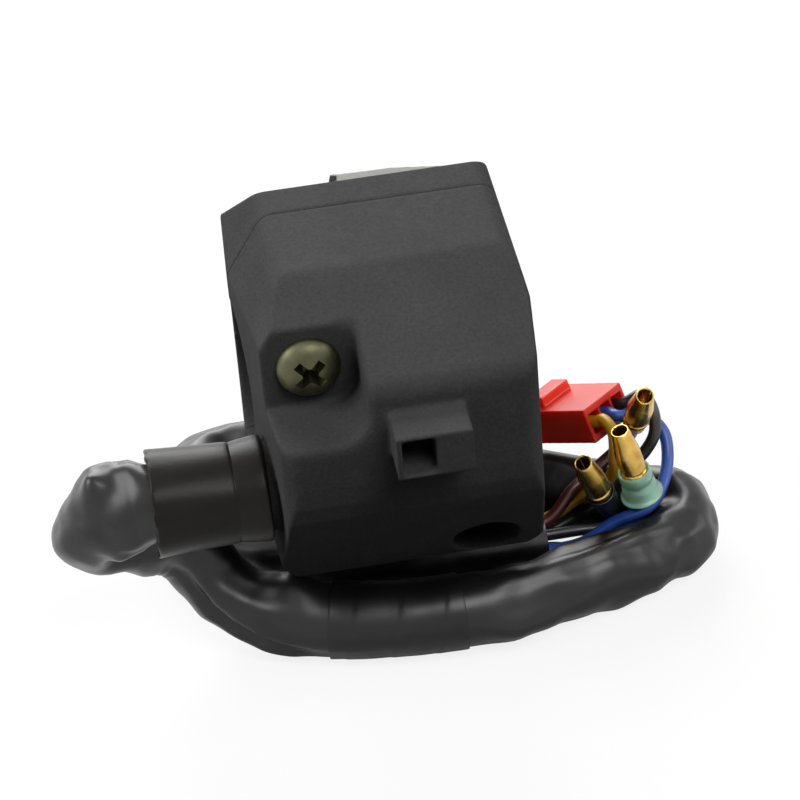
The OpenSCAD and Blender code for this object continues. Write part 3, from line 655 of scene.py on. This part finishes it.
pitchMm = connectorSpec["cavityPitch"]
wireRoutes = {
    "yellowWire": [
        (6, -7.5, -30), (13, -7.5, -30), (20.4, -7.5, -30), (25.2, -6.9, -28), (30.6, -8, -23.7),
        (31.5, -7.4, -20.5), (31.8, -5.8, -17.6), onConnector(7, -pitchMm, 0.2),
        onConnector(5.6, -pitchMm, 0), onConnector(3.6, -pitchMm, 0),
    ],
    "blueWire": [
        (6, -11.7, -32.4), (13, -11.7, -32.4), (20.4, -11.7, -32.4), (25.4, -12.8, -31), (30, -13.1, -28),
        (34.6, -14, -25.6), (37.4, -10.8, -25.2), (39.4, -6.6, -23.4), (39.6, -3.2, -20.6), (37.2, -0.8, -19),
        onConnector(7.4, 0, -0.6), onConnector(5.6, 0, 0), onConnector(3.6, 0, 0),
    ],
    "blackWire": [
        (6, -7.5, -32.4), (13, -7.5, -32.4), (20.4, -7.5, -32.4), (25, -6.9, -31), (28.3, -8, -28.4),
        (31.8, -6.4, -25.2), (34.2, -5.4, -24.2), (36.6, -4.9, -22.2), (38.1, -4.5, -19.4), (38.2, -2.8, -16.6),
        (37.2, -0.4, -15.6), onConnector(7.4, pitchMm, 0.4), onConnector(5.6, pitchMm, 0),
        onConnector(3.6, pitchMm, 0),
    ],
    "redLead": [
        (6, -9.6, -28.8), (13, -9.6, -28.8), (20.4, -9.6, -28.8), (25, -7.6, -25.4), (29.6, -4.6, -24),
        (33.2, -2.2, -23), onBullet("a", -3.6), onBullet("a", -1.6), onBullet("a", 0.5),
    ],
    "greenLead": [
        (6, -9.6, -33.6), (13, -9.6, -33.6), (20.4, -9.6, -33.6), (25, -11, -33.4), (29.4, -12.4, -31.4),
        (32.6, -11, -29.4), (34.2, -11, -26.6), onBullet("b", -2), onBullet("b", 0.5),
    ],
    "darkLead": [
        (6, -9.6, -31.2), (13, -9.6, -31.2), (20.4, -9.6, -31.2), (25, -9.8, -31), (28.8, -9.8, -31),
        onBullet("c", -5.4), onBullet("c", -3.6), onBullet("c", -1.6), onBullet("c", 0.5),
    ],
}
wireFinish = {
    "yellowWire": (yellowPvc, "yellow_vinyl", "yellow_wire"),
    "blueWire": (bluePvc, "blue_vinyl", "blue_wire"),
    "blackWire": (blackPvc, "black_vinyl", "black_wire"),
    "redLead": (redPvc, "red_vinyl", "red_lead"),
    "greenLead": (greenPvc, "green_vinyl", "green_lead"),
    "darkLead": (blackPvc, "black_vinyl", "dark_lead"),
}


def makeWire(name, route, spec):
    points = spline(route, spec["steps"])
    r = spec["diameter"] / 2
    rings = []
    for p, (t, n, b) in zip(points, ringFrames(points)):
        ring = []
        for j in range(spec["sides"]):
            a = 2 * math.pi * j / spec["sides"]
            wobble = 1 + ripple(p, (spec["wobbleScale"], (a, 0, 0), spec["wobble"]))
            ring.append(p + (n * math.cos(a) + b * math.sin(a)) * r * wobble)
        rings.append(ring)
    # the ends are trimmed square, with a small step in
    startTrim, endTrim = (
        [points[end] + (q - points[end]) * spec["trim"] for q in rings[end]] for end in (0, -1))
    wire = makeTube(name, [startTrim] + rings + [endTrim])
    smoothShade(wire, 50)
    return wire, points


for wireName, route in wireRoutes.items():
    wire, line = makeWire(wireName, route, wireSpec)
    finish, slotName, nodeName = wireFinish[wireName]
    placePiece(wire, "housing", finish, nodeName)
print("wires ready")


# lathe: a profile of radius and height in mm, spun round Z

def lathe(name, profile, sides):
    mesh = bpy.data.meshes.new(name)
    mesh.from_pydata([(r * mm, 0, z * mm) for r, z in profile], [(i, i + 1) for i in range(len(profile) - 1)], [])
    piece = bpy.data.objects.new(name, mesh)
    bpy.context.scene.collection.objects.link(piece)
    pickOnly(piece)
    bpy.ops.object.mode_set(mode="EDIT")
    bpy.ops.mesh.select_all(action="SELECT")
    bpy.ops.mesh.spin(steps=sides, angle=2 * math.pi, center=(0, 0, 0), axis=(0, 0, 1))
    bpy.ops.mesh.select_all(action="SELECT")
    bpy.ops.mesh.remove_doubles(threshold=mergeWithin["lathe"])
    bpy.ops.mesh.normals_make_consistent(inside=False)
    bpy.ops.object.mode_set(mode="OBJECT")
    return piece


def cutAway(piece, cutter):
    applyModifier(piece, "BOOLEAN", operation="DIFFERENCE", object=cutter, solver="EXACT")
    bpy.data.objects.remove(cutter)


def boxCutter(x0, x1, y0, y1, z0, z1):
    bpy.ops.object.select_all(action="DESELECT")
    bpy.ops.mesh.primitive_cube_add(size=1)
    cutter = bpy.context.object
    cutter.location = [(a + b) / 2 * mm for a, b in ((x0, x1), (y0, y1), (z0, z1))]
    cutter.scale = [(b - a) * mm for a, b in ((x0, x1), (y0, y1), (z0, z1))]
    settle(cutter)
    return cutter


# bullet terminals: rolled brass with an open seam, a hollow nose and a crimped barrel

bulletShape = {
    "sides": 48,
    "seams": {"a": 20, "b": 200, "c": 150},  # side that each seam is on, in degrees
    "slit": (0, 3, -0.07, 0.07, 4.2, 12),
    "profile": [
        (0.0, 0.0), (1.2, 0.0), (1.55, 0.08), (1.68, 0.3), (1.68, 1.9), (1.74, 2.1), (1.88, 2.25), (1.9, 2.5),
        (1.9, 2.9), (1.74, 3.06), (1.7, 3.2), (1.74, 3.34), (1.9, 3.5), (1.9, 6.5), (1.86, 6.9), (1.76, 7.6),
        (1.5, 9.6), (1.4, 10.6), (1.34, 10.9), (1.24, 10.98), (1.14, 10.98), (1.06, 10.9), (1.02, 10.6),
        (1.0, 7.0), (0.98, 4.0), (0.6, 3.0), (0.0, 2.8),
    ],
}


def makeBullets(shape, places):
    made = []
    for which, seam in shape["seams"].items():
        bullet = lathe("bullet" + which.upper(), shape["profile"], shape["sides"])
        slit = boxCutter(*shape["slit"])
        slit.rotation_euler = (0, 0, math.radians(seam))
        settle(slit)
        cutAway(bullet, slit)
        base, tip = (Vector(q) * mm for q in places[which])
        aimAlong(bullet, base, tip)
        smoothShade(bullet, 32)
        placePiece(bullet, "housing", pressedBrass, "bullet_terminals")
        made.append(bullet)
    return made


bulletA, bulletB, bulletC = makeBullets(bulletShape, bulletSpec)


# soft sleeves on two of the bullets: the clear green one has a rim and a waist, the black one is plain

bulletSleeveSpec = {
    "sides": 56,
    "green": [
        (1.4, -2.0), (2.7, -2.02), (3.06, -1.98), (3.14, -1.8), (3.06, -1.62), (2.8, -1.5), (2.62, -1.2),
        (2.56, -0.4), (2.52, 0.3), (2.36, 0.6), (2.3, 1.0), (2.36, 1.3), (2.46, 1.6), (2.44, 2.5), (2.36, 2.9),
        (2.2, 3.02), (2.02, 2.98), (1.94, 2.7), (1.93, 2.3), (1.8, 2.0), (1.78, 0.2), (1.4, -0.2), (1.16, -0.6),
        (1.16, -1.6), (1.4, -2.0),
    ],
    "black": [
        (1.2, -3.2), (1.55, -3.2), (1.68, -3.0), (1.74, -2.4), (1.9, -1.0), (2.06, 0.6), (2.16, 1.6), (2.14, 1.9),
        (2.02, 2.0), (1.88, 1.95), (1.8, 1.6), (1.8, 0.0), (1.2, -0.2), (1.1, -3.0), (1.2, -3.2),
    ],
}


def makeBulletSleeve(name, spec, colour, which):
    piece = lathe(name, spec[colour], spec["sides"])
    applyModifier(piece, "SUBSURF", levels=1, render_levels=1)
    base, tip = (Vector(q) * mm for q in bulletSpec[which])
    aimAlong(piece, base, tip)
    smoothShade(piece, 60)
    return piece


greenSleeve = makeBulletSleeve("greenBulletSleeve", bulletSleeveSpec, "green", "b")
placePiece(greenSleeve, "housing", clearGreenPvc, "green_bullet_sleeve")
blackSleeve = makeBulletSleeve("blackBulletSleeve", bulletSleeveSpec, "black", "c")
placePiece(blackSleeve, "housing", blackPvc, "black_bullet_sleeve")
print("bullets ready")


# moulded pieces: the CAD form, remeshed and relaxed so that every edge has a moulded radius

def distanceToLine(q, line):
    best = math.inf
    for a, b in zip(line, line[1:]):
        a, b = Vector(a), Vector(b)
        t = max(0.0, min(1.0, (q - a).dot(b - a) / (b - a).length_squared))
        best = min(best, (q - a - (b - a) * t).length)
    return best


def softenRidge(piece, ridge):
    zone = piece.vertex_groups.new(name="ridgeZone")
    for v in piece.data.vertices:
        away = distanceToLine(v.co / mm, ridge["line"])
        if away < ridge["reach"]:
            zone.add([v.index], 1 - (away / ridge["reach"]) ** 2, "REPLACE")
    applyModifier(piece, "SMOOTH", factor=0.5, iterations=ridge["rounds"], vertex_group="ridgeZone")
    piece.vertex_groups.clear()


def mould(nodeName, pieceName, spec, ridge=None):
    piece = cadCopy(nodeName, pieceName)
    applyModifier(piece, "REMESH", mode="VOXEL", voxel_size=spec["voxelMm"] * mm)
    if ridge:
        softenRidge(piece, ridge)
    applyModifier(piece, "SMOOTH", factor=0.5, iterations=spec["rounds"])
    if "keep" in spec:
        applyModifier(piece, "DECIMATE", ratio=spec["keep"])
    smoothShade(piece, 60)
    return piece


connector = mould("connector_housing", "connectorHousing", connectorSpec)
placePiece(connector, "housing", redPolypropylene, "connector_housing")
print("connector ready")


# housing halves

housingSpec = {"voxelMm": 0.32, "rounds": 3, "keep": 0.6}
ridgeSpec = {  # the notch's ridge and lip, which the tool blends with a wide radius
    "line": [
        (-5.65, -23.6, 20.8), (-5.65, -33.4, 16.8), (-5.65, -34.4, 12.6), (-7.2, -34.4, 9.8), (-10.2, -34.4, 8.5),
        (-18.0, -34.4, 8.5),
    ],
    "reach": 3.2, "rounds": 70,
}

frontHalf = mould("front_housing", "frontHalf", housingSpec, ridgeSpec)
placePiece(frontHalf, "housing", mouldedAbs, "front_housing")
rearHalf = mould("rear_housing", "rearHalf", housingSpec)
placePiece(rearHalf, "housing", mouldedAbs, "rear_housing")
print("housing halves ready", len(frontHalf.data.polygons), len(rearHalf.data.polygons))


# housing screws: pan heads with a cross recess, driven from the front

screwSpec = {
    "upper": (-12.25, -23.6, 14.8, 45), "lower": (10.0, -13.0, -18.5, 20),  # x, seat and z in mm, turn in degrees
    "sides": 72, "edge": 0.1,
    "head": [
        (0.0, 2.62), (0.9, 2.6), (1.8, 2.5), (2.7, 2.26), (3.5, 1.84), (4.05, 1.3), (4.34, 0.75), (4.4, 0.3),
        (4.36, 0.05), (4.2, 0.0), (2.5, 0.0), (2.5, -0.4),
    ],
    "tip": 8.4, "thread": 2.5, "threadDepth": 0.38, "pitch": 0.8, "plain": 12,
    "cross": (-3.0, 3.0, -0.7, 0.7, -0.4, 4), "crossTaper": (0.5, 0.75),
    "crossMiddle": [(0.0, -0.9), (0.7, -0.4), (1.3, 4.0), (0.0, 4.0)],
}


def makeScrew(name, spec, where):
    x, seat, z, turn = spec[where]
    shank = -(spec["tip"] - seat)
    profile = list(spec["head"])
    # rolled thread towards the tip
    crest, root = spec["thread"], spec["thread"] - spec["threadDepth"]
    turns = int((-shank - spec["plain"]) / spec["pitch"])
    for k in range(turns):
        top = -spec["plain"] - k * spec["pitch"]
        profile += [(crest, top), (crest, top - 0.1), (root, top - 0.4), (root, top - 0.5)]
    profile += [(crest - 0.4, shank + 0.5), (crest - 0.9, shank), (0.0, shank)]
    screw = lathe(name, profile, spec["sides"])
    # tapered cross recess
    for side in (0, 90):
        cutter = boxCutter(*spec["cross"])
        for v in cutter.data.vertices:
            if v.co.z < 2 * mm:  # its lower end
                v.co.x *= spec["crossTaper"][0]
                v.co.y *= spec["crossTaper"][1]
        cutter.rotation_euler = (0, 0, math.radians(turn + side))
        settle(cutter)
        cutAway(screw, cutter)
    cutAway(screw, lathe("recessFloor", spec["crossMiddle"], 24))
    applyModifier(
        screw, "BEVEL", width=spec["edge"] * mm, segments=2, limit_method="ANGLE", angle_limit=math.radians(38))
    screw.matrix_world = Matrix.Translation(Vector((x, seat, z)) * mm) @ Matrix.Rotation(math.radians(90), 4, "X")
    settle(screw)
    return screw


upperScrew = makeScrew("upperScrew", screwSpec, "upper")
lowerScrew = makeScrew("lowerScrew", screwSpec, "lower")
screws = joinPieces([upperScrew, lowerScrew], "housingScrews")
smoothShade(screws, 30)
placePiece(screws, "housing", oliveZinc, "housing_screws")
print("screws ready")


# outlet boot: rubber, flared at both ends, with a waist line and a worn outer lip

bootSpec = {
    "at": (-19.4, -22, -5.5), "sides": 96,
    "profile": [
        (5.9, 0.25), (7.1, 0.0), (7.45, 0.35), (7.4, 1.2), (6.98, 4.0), (6.86, 4.45), (6.8, 4.6), (6.9, 4.75),
        (7.0, 5.2), (7.1, 8.0), (7.3, 12.0), (7.46, 15.0), (7.52, 15.7), (7.4, 15.98), (7.1, 16.0), (6.6, 15.9),
        (5.6, 15.4), (5.3, 14.6), (5.2, 12.0),
    ],
    "outside": 5.8,  # what is further out than this is worn
    "lipFrom": 14.6, "lipHeight": 1.4,
    # nicks in the lip: number round it and depth, then how much goes outwards and along
    "nickScale": 6, "nickSeed": 2, "nickDepth": 0.22, "nickOut": 0.6, "nickAlong": 1.4,
    # dents in the wall: number round it, scale along it per mm, depth
    "dentScale": 1.6, "dentAlong": 0.12, "dentDepth": 0.16,
}


def makeBoot(spec):
    boot = lathe("outletBoot", spec["profile"], spec["sides"])
    for v in boot.data.vertices:
        q = v.co / mm
        r = math.hypot(q.x, q.y)
        if r > spec["outside"]:
            a = math.atan2(q.y, q.x)
            # the lip is nicked, and the wall has a few drawn dents
            lip = max(0.0, (q.z - spec["lipFrom"]) / spec["lipHeight"])
            nickAt = Vector((math.cos(a) * spec["nickScale"], math.sin(a) * spec["nickScale"], spec["nickSeed"]))
            dentAt = Vector((
                math.cos(a) * spec["dentScale"], math.sin(a) * spec["dentScale"], q.z * spec["dentAlong"]))
            nick = noise.noise(nickAt) * spec["nickDepth"] * lip
            dent = noise.noise(dentAt) * spec["dentDepth"]
            grow = 1 + (dent + nick * spec["nickOut"]) / r
            v.co.x *= grow
            v.co.y *= grow
            v.co.z += nick * spec["nickAlong"] * mm
    boot.matrix_world = Matrix.Translation(Vector(spec["at"]) * mm) @ Matrix.Rotation(math.radians(-90), 4, "Y")
    settle(boot)
    applyModifier(boot, "SUBSURF", levels=1, render_levels=1)
    smoothShade(boot, 50)
    return boot


boot = makeBoot(bootSpec)
placePiece(boot, "housing", epdmRubber, "outlet_boot")
print("boot ready")


# rider's controls

rockerSpec = {"voxelMm": 0.16, "rounds": 4, "keep": 0.7}
rocker = mould("dimmer_rocker", "beamRocker", rockerSpec)
placePiece(rocker, "beam_rocker", greyAbs, "dimmer_rocker")

knobSpec = {
    "voxelMm": 0.14, "rounds": 4, "face": 29.4, "centre": -2,
    "grooveEvery": 2.4, "grooveDepth": 0.5, "grooveShape": 0.6,
    "halfWidth": 5.0, "widthFade": 0.8, "halfHeight": 3.3, "heightFade": 0.5,  # where the grooves run out
}


def makeKnob(spec):
    knob = mould("turn_knob", "turnKnob", spec)
    for v in knob.data.vertices:
        q = v.co / mm
        if q.y > spec["face"]:
            wave = max(0.0, math.cos(2 * math.pi * q.x / spec["grooveEvery"])) ** spec["grooveShape"]
            edgeX = min(1.0, max(0.0, (spec["halfWidth"] - abs(q.x)) / spec["widthFade"]))
            edgeZ = min(1.0, max(0.0, (spec["halfHeight"] - abs(q.z - spec["centre"])) / spec["heightFade"]))
            v.co.y -= spec["grooveDepth"] * wave * edgeX * edgeZ * mm
    return knob


knob = makeKnob(knobSpec)
placePiece(knob, "turn_slide", smoothAcetal, "turn_knob")

hornSpec = {
    "voxelMm": 0.16, "rounds": 5, "face": 27.6, "centre": -14.0, "dishRadius": 4.6, "dishDepth": 0.9,
}


def makeHorn(spec):
    horn = mould("horn_button", "hornButton", spec)
    for v in horn.data.vertices:
        q = v.co / mm
        r = math.hypot(q.x, q.z - spec["centre"])
        if q.y > spec["face"] and r < spec["dishRadius"]:
            v.co.y -= spec["dishDepth"] * (1 - (r / spec["dishRadius"]) ** 2) * mm
    return horn


horn = makeHorn(hornSpec)
placePiece(horn, "horn", yellowAbs, "horn_button")
print("controls ready")


# horn spring: the CAD coil, given a mesh of its own; the real one shortens as the button goes in


def makeSpring():
    spring = cadCopy("horn_spring", "hornSpring")
    smoothShade(spring, 50)
    placePiece(spring, "housing", drawnSteel, "horn_spring")
    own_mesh(spring)


makeSpring()
print("spring ready")


# inner pieces keep their CAD form, with a real finish each

innerFinish = {
    "thread_inserts": pressedBrass, "dimmer_pivot_pin": drawnSteel, "dimmer_base": phenolicBoard,
    "dimmer_contacts": pressedBrass, "turn_carriage": naturalNylon, "turn_base": phenolicBoard,
    "turn_contacts": pressedBrass, "horn_base": phenolicBoard, "horn_contact": pressedBrass,
    "base_screws": drawnSteel, "inner_loom": blackPvc, "connector_terminals": pressedBrass,
}
for nodeName, finish in innerFinish.items():
    node = nodes[nodeName]
    node.data.materials.clear()
    node.data.materials.append(finish)
print("inner pieces ready")


print("scene ready")
